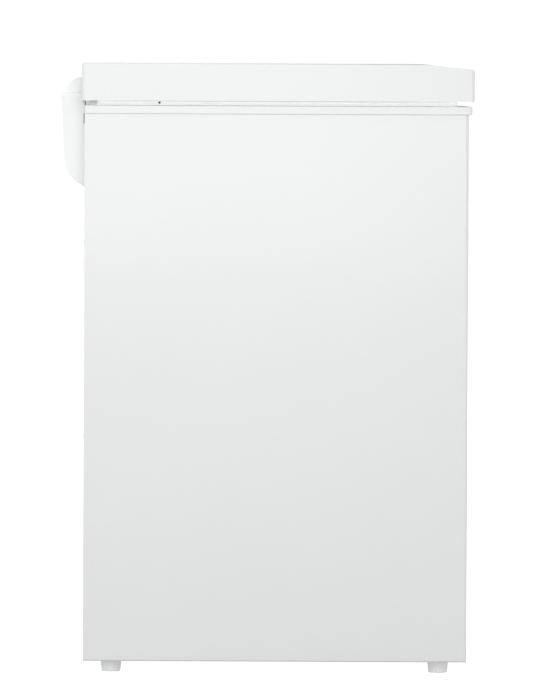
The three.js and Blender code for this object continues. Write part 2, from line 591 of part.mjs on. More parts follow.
const hingePlunger = () => join(follower(0), cylinder('z', ROD.r, ROD.reach + 1, -8, 0, ROD.y, 12),
  cylinder('z', 5.4, ROD.reach, ROD.reach + 2.5, 0, ROD.y, 20));

function hingeSpring() {
  const [turns, steps, wire, r] = [7, 10, 1.1, 4.2];
  const low = ROD.reach + 2.5 + GAP + wire;
  const high = BRIDGE.bottom - GAP - wire;
  const points = Array.from({ length: turns * steps + 1 }, (_, i) => {
    const a = 2 * Math.PI * i / steps;
    return new THREE.Vector3(r * Math.cos(a), ROD.y + r * Math.sin(a),
      low + (high - low) * i / (turns * steps));
  });
  return sweep(points, wire, 5);
}

function hingeCover() {
  const outer = [[-4.2, -131.8], [3, -127], [10, -122.6], [16.4, -115.4], [21.4, -106.6],
    [23.5, -100.4], [25.2, -79.4], [26.9, -37.5], [27.7, -14], [28.6, -11], [28.6, -7.5], [27.4, -4],
    [25.4, 0], [0, 0], [0, -11.4], [-4.2, -11.4]];
  const inner = [[-10, -132.8], [2.2, -124.8], [9, -120.4], [14.9, -113.9], [19.6, -105.6],
    [21.5, -99.8], [23.2, -79.4], [24.9, -37.5], [25.8, -11], [25.7, -7], [24.2, 2], [-10, 2]];
  return prism('x', outer, -HINGE.half, HINGE.half).subtract(prism('x', inner, -31, 31))
    .subtract(box(-40, 40, -5, -2.4, -43, -29));
}

function hingeCap() {
  const curve = (r, a0) => Array.from({ length: 13 }, (_, i) => {
    const a = THREE.MathUtils.degToRad(a0 + (88 - a0) * i / 12);
    const k = r - 1.2 * Math.sin(2 * a) ** 2;
    return [k * Math.cos(a) * 1.07, k * Math.sin(a)];
  });
  const outer = [[0, 0.4], ...curve(22.1, 1), [0, 22.1]];
  const inner = [[-6, -3], [21.7, -3], ...curve(20.3, 1), [-6, 20.3]];
  return prism('x', outer, -30.5, 30.5).subtract(prism('x', inner, -28.7, 28.7));
}

function hinges() {
  [['left', -1], ['right', 1]].forEach(([side, s]) => {
    const at = [s * HINGE.x, HINGE.y, HINGE.z];
    const place = (piece, body, material) => add(`hinge_${piece}_${side}`, body.translate(at), material);
    place('base', hingeBase(), MAT.galvanised);
    place('arm', hingeArm(), MAT.galvanised);
    place('pin', hingePin(), MAT.steel);
    place('plunger', hingePlunger(), MAT.steel);
    place('spring', hingeSpring(), MAT.steel);
    place('cover', hingeCover(), MAT.plastic);
    place('cap', hingeCap(), MAT.plastic);
  });
}

outerWrap();
backPanel();
basePan();
compressorTray();
bayPanel();
innerLiner();
cabinetFoam();
cabinetRim();
evaporatorTube();
condenserTube();
compressor();
refrigerantLines();
rearCover();
sideVentGrille();
controlPanel();
drainParts();
feet();
basket();
lid();
lidGasket();
hinges();

export default group;
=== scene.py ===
"""Looks of the compact chest freezer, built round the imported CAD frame."""
import math

import bmesh
import bpy
from mathutils import Matrix, Vector


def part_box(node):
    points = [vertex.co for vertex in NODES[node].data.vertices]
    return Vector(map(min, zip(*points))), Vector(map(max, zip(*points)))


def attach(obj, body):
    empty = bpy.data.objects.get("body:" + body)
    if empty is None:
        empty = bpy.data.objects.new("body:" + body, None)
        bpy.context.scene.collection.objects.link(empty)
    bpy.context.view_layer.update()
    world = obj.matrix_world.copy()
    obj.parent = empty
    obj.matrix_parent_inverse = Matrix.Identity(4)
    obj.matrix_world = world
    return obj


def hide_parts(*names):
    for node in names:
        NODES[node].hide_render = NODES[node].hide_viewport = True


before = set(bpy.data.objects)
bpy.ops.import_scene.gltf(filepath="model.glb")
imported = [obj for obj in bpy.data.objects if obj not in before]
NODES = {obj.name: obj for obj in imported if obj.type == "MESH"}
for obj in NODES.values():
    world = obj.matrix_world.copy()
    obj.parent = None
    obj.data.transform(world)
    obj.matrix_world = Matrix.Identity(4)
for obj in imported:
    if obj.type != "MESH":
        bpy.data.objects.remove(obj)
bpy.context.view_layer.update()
SIDES = ("left", "right")

# ---------------------------------------------------------------- placing
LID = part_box("lid_outer")
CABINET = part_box("outer_wrap")
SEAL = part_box("lid_gasket")
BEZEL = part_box("control_bezel")
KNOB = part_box("thermostat_knob")
REAR_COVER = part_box("rear_cover")
BASKET = ["basket_floor", "basket_front", "basket_rear", "basket_left", "basket_right",
          "basket_hanger_front", "basket_hanger_rear"]
MM = 0.001
TURN = 2 * math.pi
UP = (0, 0, 1)
REARWARD = (0, 1, 0)

# ---------------------------------------------------------------- levels
WHITE = (1.0, 1.0, 1.0, 1.0)
SEAL_PAINTED_GLOW = 0.19            # painted glow: emission that makes the thin vinyl look lit, no lamp in it
# painted glow on the feet: emission that makes them look lit, no lamp in them
FOOT_PAINTED_GLOW = 0.26
BACKDROP_LIGHT = 0.85       # what the backdrop and the floor give to the object,
BACKDROP_SEEN = 1.05        # and how bright they look themselves
FLOOR_LIGHT = 0.15
FLOOR_SEEN = 1.0
BOTTOM_EDGE_PAINTED_SHADE = 0.68           # painted shade: paint darker at the bottom fold of the cabinet
LID_TOP_PAINTED_SHADE = 0.87            # painted shade: lid paint darker on faces that look up
COAT_ROUGHNESS = 0.12
CREASE = math.radians(38)   # edges sharper than this stay sharp
BEVEL_FROM = math.radians(32)
WELD = 1e-5


def centre_of(node):
    low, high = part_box(node)
    return [(a + b) / 2 for a, b in zip(low, high)]


# ---------------------------------------------------------------- materials
def parts_of(material):
    tree = material.node_tree
    return tree, tree.nodes["Principled BSDF"]


def node_setup(name):
    material = bpy.data.materials.new(name)
    material.use_nodes = True
    return material, *parts_of(material)


def add_node(tree, kind, **inputs):
    node = tree.nodes.new(kind)
    for key, value in inputs.items():
        node.inputs[key.replace("_", " ")].default_value = value
    return node


def noise(tree, scale, detail=3.0, roughness=0.5, stretch=(1, 1, 1)):
    place = add_node(tree, "ShaderNodeTexCoord")
    mapping = tree.nodes.new("ShaderNodeMapping")
    mapping.inputs["Scale"].default_value = stretch
    texture = add_node(tree, "ShaderNodeTexNoise", Scale=scale, Detail=detail,
                       Roughness=roughness)
    tree.links.new(place.outputs["Object"], mapping.inputs["Vector"])
    tree.links.new(mapping.outputs["Vector"], texture.inputs["Vector"])
    return texture.outputs["Fac"]


def cells(tree, scale, feature="F1"):
    place = add_node(tree, "ShaderNodeTexCoord")
    texture = add_node(tree, "ShaderNodeTexVoronoi", Scale=scale)
    texture.feature = feature
    tree.links.new(place.outputs["Object"], texture.inputs["Vector"])
    return texture


def ramp(tree, factor, stops):
    node = tree.nodes.new("ShaderNodeValToRGB")
    elements = node.color_ramp.elements
    while len(elements) < len(stops):
        elements.new(0.5)
    for element, (position, colour) in zip(elements, stops):
        element.position = position
        element.color = (*colour, 1.0)
    tree.links.new(factor, node.inputs["Fac"])
    return node.outputs["Color"]


def spread(tree, factor, low, high, start=0.0, stop=1.0):
    """Take a value that runs from start to stop to one that runs from low to high."""
    node = add_node(tree, "ShaderNodeMapRange", From_Min=start, From_Max=stop,
                    To_Min=low, To_Max=high)
    tree.links.new(factor, node.inputs["Value"])
    return node.outputs["Result"]


def coordinate(tree, output):
    """The separate X, Y and Z of a texture coordinate."""
    place = tree.nodes.new("ShaderNodeTexCoord")
    split = tree.nodes.new("ShaderNodeSeparateXYZ")
    tree.links.new(place.outputs[output], split.inputs[0])
    return split.outputs


def bump(tree, shader, height, strength, distance, below=None):
    node = add_node(tree, "ShaderNodeBump", Strength=strength, Distance=distance)
    tree.links.new(height, node.inputs["Height"])
    if below is not None:
        tree.links.new(below, node.inputs["Normal"])
    tree.links.new(node.outputs["Normal"], shader.inputs["Normal"])
    return node.outputs["Normal"]


def tint(colour, k):
    return tuple(min(1.0, c * k) for c in colour)


def surface(name, colour, rough, vary=0.02, metallic=0.0, coat=0.0, mottle=9.0,
            grain=None, waves=None, stretch=(1, 1, 1)):
    """Colour that drifts a little, uneven roughness and a fine grain; each at its own scale.

    grain and waves are (scale, strength, distance) of their bumps.
    """
    material, tree, shader = node_setup(name)
    drift = noise(tree, mottle, 4.0, 0.6)
    stops = [(0.3, tint(colour, 1 - vary)), (0.7, tint(colour, 1 + vary))]
    tree.links.new(ramp(tree, drift, stops), shader.inputs["Base Color"])
    smear = noise(tree, mottle * 4, 3.0, 0.6, stretch)
    tree.links.new(spread(tree, smear, rough * 0.85, rough * 1.15), shader.inputs["Roughness"])
    shader.inputs["Metallic"].default_value = metallic
    shader.inputs["Coat Weight"].default_value = coat
    shader.inputs["Coat Roughness"].default_value = COAT_ROUGHNESS
    below = None
    if waves:
        scale, strength, distance = waves
        below = bump(tree, shader, noise(tree, scale, 1.0, 0.4), strength, distance)
    if grain:
        scale, strength, distance = grain
        bump(tree, shader, noise(tree, scale, 2.0, 0.5, stretch), strength, distance, below)
    return material


def embossed_liner():
    material, tree, shader = node_setup("embossed_liner_sheet")
    texture = cells(tree, 210.0, "SMOOTH_F1")
    tree.links.new(ramp(tree, texture.outputs["Distance"],
                        [(0.1, (0.80, 0.81, 0.82)), (0.8, (0.72, 0.73, 0.745))]),
                   shader.inputs["Base Color"])
    tree.links.new(spread(tree, noise(tree, 30.0), 0.28, 0.42), shader.inputs["Roughness"])
    shader.inputs["Metallic"].default_value = 0.35
    bump(tree, shader, texture.outputs["Distance"], 0.35, 0.0006)
    return material


def spangled_zinc():
    material, tree, shader = node_setup("spangled_zinc_sheet")
    texture = cells(tree, 85.0)
    bright = add_node(tree, "ShaderNodeSeparateColor")
    tree.links.new(texture.outputs["Color"], bright.inputs["Color"])
    tree.links.new(ramp(tree, bright.outputs["Red"],
                        [(0.0, (0.50, 0.52, 0.53)), (1.0, (0.66, 0.68, 0.69))]),
                   shader.inputs["Base Color"])
    tree.links.new(spread(tree, bright.outputs["Green"], 0.30, 0.50), shader.inputs["Roughness"])
    shader.inputs["Metallic"].default_value = 0.85
    bump(tree, shader, noise(tree, 350.0), 0.08, 0.0002)
    return material


def foam_material():
    material, tree, shader = node_setup("rigid_foam")
    texture = cells(tree, 420.0)
    tree.links.new(ramp(tree, texture.outputs["Distance"],
                        [(0.0, (0.60, 0.50, 0.30)), (0.6, (0.83, 0.76, 0.54))]),
                   shader.inputs["Base Color"])
    tree.links.new(spread(tree, noise(tree, 60.0), 0.85, 1.0), shader.inputs["Roughness"])
    bump(tree, shader, texture.outputs["Distance"], 0.6, 0.0008)
    return material


def shade_along(material, output, low, high, at_low, at_high):
    """Paints shade into the paint: scales it by the Z part of a texture coordinate, height, or how
    far a face looks up.
    """
    tree, shader = parts_of(material)
    colour = shader.inputs["Base Color"].links[0].from_socket
    painted_shade_factor = spread(tree, coordinate(tree, output)["Z"], at_low, at_high, low, high)
    painted_shade_scale = tree.nodes.new("ShaderNodeVectorMath")
    painted_shade_scale.operation = "SCALE"
    tree.links.new(colour, painted_shade_scale.inputs[0])
    tree.links.new(painted_shade_factor, painted_shade_scale.inputs["Scale"])
    tree.links.new(painted_shade_scale.outputs["Vector"], shader.inputs["Base Color"])
    return material


def gasket_material():
    """Milky vinyl with a painted glow, stronger towards the lid as painted light against the shade
    under its edge, and cut off at the hinge side as painted shade.
    """
    material = surface("gasket_vinyl_painted_glow", (0.88, 0.885, 0.88), 0.62, 0.02, mottle=25.0,
                       grain=(900.0, 0.12, 0.0003))
    tree, shader = parts_of(material)
    along = coordinate(tree, "Object")
    (_, _, bottom), (_, rear, top) = SEAL
    # painted shade: no glow over the rearmost 10 mm at the hinge side; painted light: glow doubled
    # towards the lid, where its edge shades the seal
    start = spread(tree, along["Y"], SEAL_PAINTED_GLOW, 0.0, rear - 12.5 * MM, rear - 10.0 * MM)
    painted_glow_towards_lid = spread(tree, along["Z"], 1.0, 2.0, bottom + 3.0 * MM, top)
    painted_glow_total = tree.nodes.new("ShaderNodeMath")
    painted_glow_total.operation = "MULTIPLY"
    tree.links.new(start, painted_glow_total.inputs[0])
    tree.links.new(painted_glow_towards_lid, painted_glow_total.inputs[1])
    tree.links.new(painted_glow_total.outputs[0], shader.inputs["Emission Strength"])
    shader.inputs["Emission Color"].default_value = WHITE
    return material


def foot_material():
    material = surface("foot_plastic", (0.86, 0.86, 0.86), 0.48, 0.02, mottle=40.0,
                       grain=(900.0, 0.15, 0.0003))
    _, shader = parts_of(material)
    # painted glow: the feet emit light so they look brighter
    shader.inputs["Emission Color"].default_value = WHITE
    shader.inputs["Emission Strength"].default_value = FOOT_PAINTED_GLOW
    return material


def lens_material(name, colour):
    material, tree, shader = node_setup(name)
    tree.links.new(ramp(tree, noise(tree, 300.0), [(0.3, tint(colour, 0.85)), (0.7, colour)]),
                   shader.inputs["Base Color"])
    tree.links.new(spread(tree, noise(tree, 500.0), 0.06, 0.14), shader.inputs["Roughness"])
    shader.inputs["Transmission Weight"].default_value = 0.35
    shader.inputs["Coat Weight"].default_value = 0.6
    return material


MAT = {
    # cabinet paint, with painted shade over its lowest 2 mm
    "paint": shade_along(
        surface("white_enamel", (0.86, 0.865, 0.87), 0.34, 0.006, coat=0.25, mottle=5.0,
                grain=(1300.0, 0.035, 0.0002), waves=(90.0, 0.02, 0.0008)),
        "Object", CABINET[0][2] + 0.8 * MM, CABINET[0][2] + 1.9 * MM, BOTTOM_EDGE_PAINTED_SHADE, 1.0),
    # lid paint, with painted shade on faces that look up
    "lid_paint": shade_along(
        surface("white_enamel_lid_painted_top_shade", (0.835, 0.84, 0.845), 0.32, 0.006, coat=0.25, mottle=5.0,
                grain=(1300.0, 0.035, 0.0002), waves=(90.0, 0.02, 0.0008)),
        "Normal", 0.20, 0.55, 1.0, LID_TOP_PAINTED_SHADE),
    "rim": surface("rim_plastic", (0.895, 0.90, 0.90), 0.42, 0.008, mottle=14.0,
                   grain=(1600.0, 0.05, 0.0002)),
    "cover": surface("cover_plastic", (0.93, 0.935, 0.935), 0.45, 0.01, mottle=20.0,
                     grain=(1100.0, 0.10, 0.0003)),
    "liner": embossed_liner(),
    "lid_liner": surface("formed_lid_liner", (0.84, 0.85, 0.86), 0.38, 0.01, mottle=8.0,
                         grain=(700.0, 0.10, 0.0004)),
    "foam": foam_material(),
    "seal": gasket_material(),
    "zinc": spangled_zinc(),
    "aluminium": surface("aluminium_tube", (0.72, 0.73, 0.74), 0.36, 0.04, metallic=0.9,
                         mottle=30.0, grain=(600.0, 0.10, 0.0003)),
    "copper": surface("drawn_copper", (0.72, 0.36, 0.20), 0.30, 0.16, metallic=0.95,
                      mottle=26.0, grain=(500.0, 0.08, 0.0002)),
    "black": surface("compressor_enamel", (0.020, 0.020, 0.022), 0.30, 0.15, coat=0.3,
                     mottle=12.0, grain=(450.0, 0.15, 0.0005)),
    "grey": surface("grey_plastic", (0.50, 0.51, 0.52), 0.5, 0.02, mottle=18.0,
                    grain=(1000.0, 0.12, 0.0003)),
    "rubber": surface("black_rubber", (0.022, 0.022, 0.022), 0.82, 0.12, mottle=30.0,
                      grain=(800.0, 0.25, 0.0004)),
    "foot": foot_material(),
    "wire": surface("coated_wire", (0.86, 0.86, 0.86), 0.28, 0.01, coat=0.4, mottle=20.0,
                    grain=(400.0, 0.06, 0.0004)),
    "steel": surface("bright_steel", (0.56, 0.57, 0.58), 0.30, 0.05, metallic=1.0, mottle=40.0,
                     grain=(300.0, 0.12, 0.0002), stretch=(1, 1, 12)),
    "print": surface("dial_print", (0.16, 0.17, 0.18), 0.5, 0.04, mottle=60.0),
    "dark": surface("shadow_plastic", (0.035, 0.035, 0.036), 0.6, 0.05, mottle=60.0),
    "knob": surface("knob_plastic", (0.62, 0.63, 0.64), 0.42, 0.02, mottle=30.0,
                    grain=(1200.0, 0.10, 0.0003)),
    "sealant": surface("butyl_sealant", (0.10, 0.10, 0.10), 0.7, 0.1, mottle=60.0,
                       grain=(250.0, 0.4, 0.001)),
    "green": lens_material("green_lens", (0.04, 0.42, 0.10)),
    "amber": lens_material("amber_lens", (0.80, 0.28, 0.02)),
}


# ---------------------------------------------------------------- mesh helpers
def finish_piece(name, bm, material, body):
    """Turns a bmesh into a piece that rides on a body and takes its finish from a slot."""
    bmesh.ops.remove_doubles(bm, verts=bm.verts, dist=1e-6)
    bmesh.ops.recalc_face_normals(bm, faces=bm.faces)
    mesh = bpy.data.meshes.new(name)
    bm.to_mesh(mesh)
    bm.free()
    mesh.polygons.foreach_set("use_smooth", [True] * len(mesh.polygons))
    mesh.set_sharp_from_angle(angle=CREASE)
    mesh.materials.append(MAT[material])
    piece = bpy.data.objects.new(name, mesh)
    bpy.context.scene.collection.objects.link(piece)
    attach(piece, body)
    return piece


def loft(bm, rings, closed=False, caps=True):
    """Joins rings of equal length into a skin."""
    made = [[bm.verts.new(p) for p in ring] for ring in rings]
    count = len(made[0])
    pairs = list(zip(made, made[1:]))
    if closed:
        pairs.append((made[-1], made[0]))
    for a, b in pairs:
        for i in range(count):
            j = (i + 1) % count
            bm.faces.new((a[i], a[j], b[j], b[i]))
    if caps and not closed:
        bm.faces.new(list(reversed(made[0])))
        bm.faces.new(made[-1])


def circle(centre, u, v, r, n):
    angles = [TURN * i / n for i in range(n)]
    return [centre + u * (r * math.cos(a)) + v * (r * math.sin(a)) for a in angles]


def ribbed_ring(r, depth, ribs, fine, narrow=1):
    """Offsets of a ring of radius r mm with grooves of a depth in mm; narrow slims the grooves."""
    count = ribs * fine
    ring = []
    for i in range(count):
        a = TURN * i / count
        groove = (0.5 - 0.5 * math.cos(ribs * a)) ** narrow
        k = (r - depth * groove) * MM
        ring.append((k * math.cos(a), k * math.sin(a)))
    return ring


def tube(bm, points, r, n=8, closed=False):
    """Round wire along a line of points, carried without twist."""
    pts = [Vector(p) for p in points]
    count = len(pts)
    rings = []
    side = None
    for i, p in enumerate(pts):
        before = pts[i - 1] if (closed or i) else p
        after = pts[(i + 1) % count] if (closed or i < count - 1) else p
        along = (after - before).normalized()
        if side is None:
            helper = Vector((0, 0, 1)) if abs(along.z) < 0.9 else Vector((1, 0, 0))
            side = along.cross(helper).normalized()
        else:
            side = (side - along * side.dot(along)).normalized()
        rings.append(circle(p, side, along.cross(side), r, n))
    loft(bm, rings, closed=closed)


def rounded(points, bend, steps=4):
    """Corner points to a line with rounded bends."""
    pts = [Vector(p) for p in points]
    line = [pts[0]]
    for a, b, c in zip(pts, pts[1:], pts[2:]):
        p = b + (a - b).normalized() * bend
        q = b + (c - b).normalized() * bend
        for i in range(steps + 1):
            t = i / steps
            line.append((1 - t) ** 2 * p + 2 * t * (1 - t) * b + t * t * q)
    line.append(pts[-1])
    return line


def rounded_loop(x0, x1, y0, y1, r, steps=5):
    """Rounded rectangle, as (x, y, outward x, outward y)."""
    out = []
    corners = [(x1 - r, y0 + r, -90), (x1 - r, y1 - r, 0),
               (x0 + r, y1 - r, 90), (x0 + r, y0 + r, 180)]
    for cx, cy, start in corners:
        for i in range(steps + 1):
            a = math.radians(start + 90 * i / steps)
            out.append((cx + r * math.cos(a), cy + r * math.sin(a), math.cos(a), math.sin(a)))
    return out


def slab(bm, centre, half_wide, low, high, bend, steps, layers):
    """Upright rounded bar on a front face: x and z round its centre, one ring for each layer y."""
    cx, cz = centre
    loop = rounded_loop(-half_wide, half_wide, low, high, bend, steps)
    loft(bm, [[Vector((cx + a, y, cz + b)) for a, b, _, _ in loop] for y in layers])


def lathe(bm, profile, centre, axis, n=32):
    """Turned piece: profile of (radius, height along axis)."""
    axis = Vector(axis)
    u = axis.orthogonal().normalized()
    v = axis.cross(u)
    loft(bm, [circle(Vector(centre) + axis * h, u, v, max(r, 1e-5), n) for r, h in profile])


# ---------------------------------------------------------------- carried-over CAD nodes
# node: (material, bevel in mm)
LOOK = {
    "outer_wrap": ("paint", 0.0), "back_panel": ("paint", 0.0), "lid_outer": ("lid_paint", 0.0),
    "cabinet_rim": ("rim", 0.15), "inner_liner": ("liner", 0.0), "lid_liner": ("lid_liner", 0.4),
    "cabinet_foam": ("foam", 0.0), "lid_foam": ("foam", 0.0), "base_pan": ("zinc", 0.0),
    "compressor_tray": ("zinc", 0.2), "bay_panel": ("zinc", 0.0), "rear_cover": ("zinc", 0.0),
    "evaporator_tube": ("aluminium", 0.0), "condenser_tube": ("copper", 0.0),
    "discharge_line": ("copper", 0.0), "suction_line": ("copper", 0.0),
    "capillary_tube": ("copper", 0.0), "filter_drier": ("copper", 0.0),
    "compressor_shell": ("black", 0.0), "compressor_terminal_cover": ("grey", 1.5),
    "side_vent_grille": ("rim", 0.3), "control_bezel": ("rim", 0.3),
    "thermostat_body": ("grey", 0.8), "power_lamp_lens": ("green", 0.5),
    "run_lamp_lens": ("amber", 0.5), "drain_tube": ("grey", 0.0), "drain_plug": ("rim", 0.6),
    "drain_cap": ("rim", 0.5), "cable_gland": ("rubber", 0.5),
}
for number in range(1, 5):
    LOOK[f"compressor_grommet_{number}"] = ("rubber", 0.8)
for end in SIDES:
    LOOK.update({
        f"hinge_base_{end}": ("zinc", 0.2), f"hinge_arm_{end}": ("zinc", 0.2),
        f"hinge_pin_{end}": ("steel", 0.3), f"hinge_plunger_{end}": ("steel", 0.2),
        f"hinge_spring_{end}": ("steel", 0.0), f"hinge_cover_{end}": ("cover", 0.4),
        f"hinge_cap_{end}": ("cover", 0.3),
    })


def dress(node, material, bevel):
    """Gives a CAD node its material, softened edges and clean normals."""
    piece = NODES[node]
    piece.data.materials.clear()
    piece.data.materials.append(MAT[material])
    for face in piece.data.polygons:
        upright = node == "lid_outer" and abs(face.normal.z) < 0.01
        face.use_smooth = max(abs(c) for c in face.normal) < 0.9999 and not upright
    weld = piece.modifiers.new("weld", "WELD")
    weld.merge_threshold = WELD
    if bevel:
        soften = piece.modifiers.new("edges", "BEVEL")
        soften.width, soften.segments, soften.limit_method = bevel * MM, 2, "ANGLE"
        soften.angle_limit = BEVEL_FROM
        soften.harden_normals = True
    flatten = piece.modifiers.new("normals", "WEIGHTED_NORMAL")
    flatten.keep_sharp = True


for node_name, (look, width) in LOOK.items():
    dress(node_name, look, width)


# ---------------------------------------------------------------- gasket
def gasket():
    """Vinyl door seal: dart strip under the lid, bellows, and the bulb with the magnet."""
    (x0, y0, z0), (x1, y1, z1) = SEAL
    bm = bmesh.new()
    height = z1 - z0
    # mm outward from the CAD ring's outer edge, and height as a share of the gap
    profile = [(0.0, 0.08), (-0.2, 0.0), (-2.0, 0.0), (-11.0, 0.0), (-15.0, 0.02), (-15.6, 0.10),
               (-15.6, 0.36), (-14.6, 0.44), (-15.2, 0.55), (-14.2, 0.66), (-15.6, 0.80),
               (-15.6, 1.0), (-1.0, 1.0), (-0.3, 0.93), (-0.3, 0.80), (-1.5, 0.66),
               (-0.6, 0.55), (-1.3, 0.45), (-0.1, 0.36)]
    loop = rounded_loop(x0, x1, y0, y1, 3.0 * MM, 6)
    rings = [[Vector((x + nx * d * MM, y + ny * d * MM, z0 + height * h)) for d, h in profile]
             for x, y, nx, ny in loop]
    loft(bm, rings, closed=True)
    piece = finish_piece("gasket_profile", bm, "seal", "lid")
    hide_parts("lid_gasket")


def gasket_vent():
    """Small moulded vent in the left side of the seal, near-black as painted shade of its hole."""
    (x0, _, z0), (_, _, z1) = SEAL
    bm = bmesh.new()
    place = (x0, CABINET[1][1] - 0.104, z0 + (z1 - z0) * 0.62)
    lathe(bm, [(0.0, 0.0), (1.5 * MM, 0.0), (1.5 * MM, 0.5 * MM), (1.1 * MM, 0.7 * MM),
               (0.9 * MM, 0.3 * MM), (0.0, 0.3 * MM)], place, (-1, 0, 0), 20)
    # near-black plastic as painted shade of the vent hole
    finish_piece("gasket_vent", bm, "dark", "lid")


# ---------------------------------------------------------------- feet
def foot(node):
    """Ribbed foot: height, radius and groove depth in mm up its side, then its threaded stem."""
    cx, cy, _ = centre_of(node)
    bm = bmesh.new()
    steps = ((0.0, 9.5, 0), (0.0, 11.0, 0), (0.5, 12.2, 0.1), (1.4, 12.9, 0.45), (6.0, 13.5, 0.6),
             (12.0, 14.2, 0.6), (15.0, 14.45, 0.5), (15.7, 14.3, 0.1), (15.7, 9.0, 0))
    loft(bm, [[Vector((cx + u, cy + v, z * MM)) for u, v in ribbed_ring(r, depth, 26, 6, narrow=2)]
              for z, r, depth in steps])
    lathe(bm, [(4.0 * MM, 15.5 * MM), (4.0 * MM, 31.5 * MM), (3.2 * MM, 32.0 * MM)],
          (cx, cy, 0), UP, 20)
    piece = finish_piece(f"{node}_ribbed", bm, "foot", node)
    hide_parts(node)


# ---------------------------------------------------------------- basket
def wire_basket():
    """Bent round wire on three frames, with two hangers that hook over the rim."""
    front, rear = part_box("basket_front"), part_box("basket_rear")
    x0, x1 = front[0][0] + 1.6 * MM, front[1][0] - 1.6 * MM
    y0, y1 = front[0][1] + 1.9 * MM, rear[1][1] - 1.9 * MM
    z0, z1 = front[0][2] + 1.6 * MM, front[1][2] - 2.4 * MM
    bend, wire, inset = 12.0 * MM, 1.3 * MM, 2.6 * MM
    bm = bmesh.new()
    for z, r in ((z1, 2.3), (z0 + 98.0 * MM, 1.5), (z0 + 2.4 * MM, 1.7)):
        loop = [Vector((x, y, z)) for x, y, _, _ in rounded_loop(x0, x1, y0, y1, bend, 5)]
        tube(bm, loop, r * MM, 10, closed=True)
    lengthwise, crosswise = 12, 18
    a, b = y0 + inset, y1 - inset
    for i in range(1, lengthwise):
        x = x0 + (x1 - x0) * i / lengthwise
        tube(bm, rounded([(x, a, z1), (x, a, z0), (x, b, z0), (x, b, z1)], bend), wire, 8)
    a, b = x0 + inset, x1 - inset
    for i in range(1, crosswise):
        y = y0 + (y1 - y0) * i / crosswise
        tube(bm, rounded([(a, y, z1), (a, y, z0), (b, y, z0), (b, y, z1)], bend), wire, 8)
    hook, edge = 1.5 * MM, 2.0 * MM
    for node, at_front in (("basket_hanger_front", True), ("basket_hanger_rear", False)):
        (hx0, hy0, hz0), (hx1, hy1, hz1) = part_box(node)
        wall, tip = (hy1 - edge, hy0 + edge) if at_front else (hy0 + edge, hy1 - edge)
        a, b = hx0 + edge, hx1 - edge
        foot_z, top = hz0 + edge, hz1 - 2.2 * MM
        tube(bm, rounded([(a, wall, foot_z), (a, wall, top), (a, tip, top), (b, tip, top),
                          (b, wall, top), (b, wall, foot_z)], 5.5 * MM, 5), hook, 8)
        tube(bm, [(hx0, wall, foot_z), (hx1, wall, foot_z)], hook, 8)
    piece = finish_piece("wire_basket", bm, "wire", "basket")
    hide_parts(*BASKET)


# ---------------------------------------------------------------- fasteners
def screw(bm, centre, axis, r, proud=1.0):
    """Screw with a cross recess, seated on its washer face; proud scales the head height."""
    axis = Vector(axis)
    u = axis.orthogonal().normalized()
    v = axis.cross(u)
    centre = Vector(centre)
    head = [(0.0, 0.0), (1.0, 0.0), (1.0, 0.22), (0.9, 0.42), (0.7, 0.56), (0.4, 0.64), (0.0, 0.66)]
    lathe(bm, [(a * r, b * r * proud) for a, b in head], centre, axis, 24)
    for a, b in ((u, v), (v, u)):
        half, wide = 0.52 * r, 0.11 * r
        top = centre + axis * (0.675 * r * proud)
        ring = [top + a * half + b * wide, top - a * half + b * wide,
                top - a * half - b * wide, top + a * half - b * wide]
        loft(bm, [[p - axis * (0.3 * r * proud) for p in ring], ring])


def screws(name, places, r, proud=1.0):
    """Steel screws of radius r mm that face the rear."""
    bm = bmesh.new()
    for place in places:
        screw(bm, place, REARWARD, r * MM, proud)
    finish_piece(name, bm, "steel", "cabinet")


def all_screws():
    sunk = 0.3      # low heads on the outer faces, which stay inside the CAD box
    (x0, _, z0), (x1, y1, z1) = REAR_COVER
    inset = 6.0 * MM
    screws("rear_cover_screws",
           [(x, y1, z) for x in (x0 + inset, x1 - inset)
            for z in (z0 + inset, (z0 + z1) / 2, z1 - inset)], 3.2, sunk)
    (bx0, _, bz0), (bx1, by1, _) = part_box("back_panel")
    places = [(x, by1, z) for x in (bx0 + 0.010, bx1 - 0.010) for z in (bz0 + 0.05, 0.33, 0.60)]
    places += [(x, by1, bz0 + 0.008) for x in (-0.2, 0.0)]
    screws("back_panel_screws", places, 3.0, sunk)
    for end in SIDES:
        _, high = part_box(f"hinge_cover_{end}")
        cx = centre_of(f"hinge_cover_{end}")[0]
        screws(f"hinge_cover_screw_{end}", [(cx, high[1] - 2.6 * MM, high[2] - 0.060)], 3.4, sunk)
        base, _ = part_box(f"hinge_base_{end}")
        screws(f"hinge_base_screws_{end}",
               [(cx + side * 0.012, base[1] + 2.5 * MM, base[2] + rise)
                for side in (-1, 1) for rise in (0.010, 0.080)], 3.0)


def mount_nuts():
    """Washer, nut and stud end on each rubber mount of the compressor."""
    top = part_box("compressor_grommet_1")[1][2]
    bm = bmesh.new()
    for index in range(1, 5):
        cx, cy, _ = centre_of(f"compressor_grommet_{index}")
        lathe(bm, [(0.0, 0.0), (9.0 * MM, 0.0), (9.0 * MM, 1.4 * MM), (0.0, 1.4 * MM)],
              (cx, cy, top + 0.1 * MM), UP, 28)
        lathe(bm, [(0.0, 0.0), (5.6 * MM, 0.0), (5.9 * MM, 0.6 * MM), (5.9 * MM, 4.2 * MM),
                   (5.2 * MM, 4.8 * MM), (0.0, 4.8 * MM)], (cx, cy, top + 1.6 * MM), UP, 6)
        lathe(bm, [(0.0, 0.0), (2.9 * MM, 0.0), (2.9 * MM, 3.2 * MM), (2.3 * MM, 3.8 * MM),
                   (0.0, 3.8 * MM)], (cx, cy, top + 6.2 * MM), UP, 16)
    finish_piece("compressor_mount_nuts", bm, "steel", "cabinet")


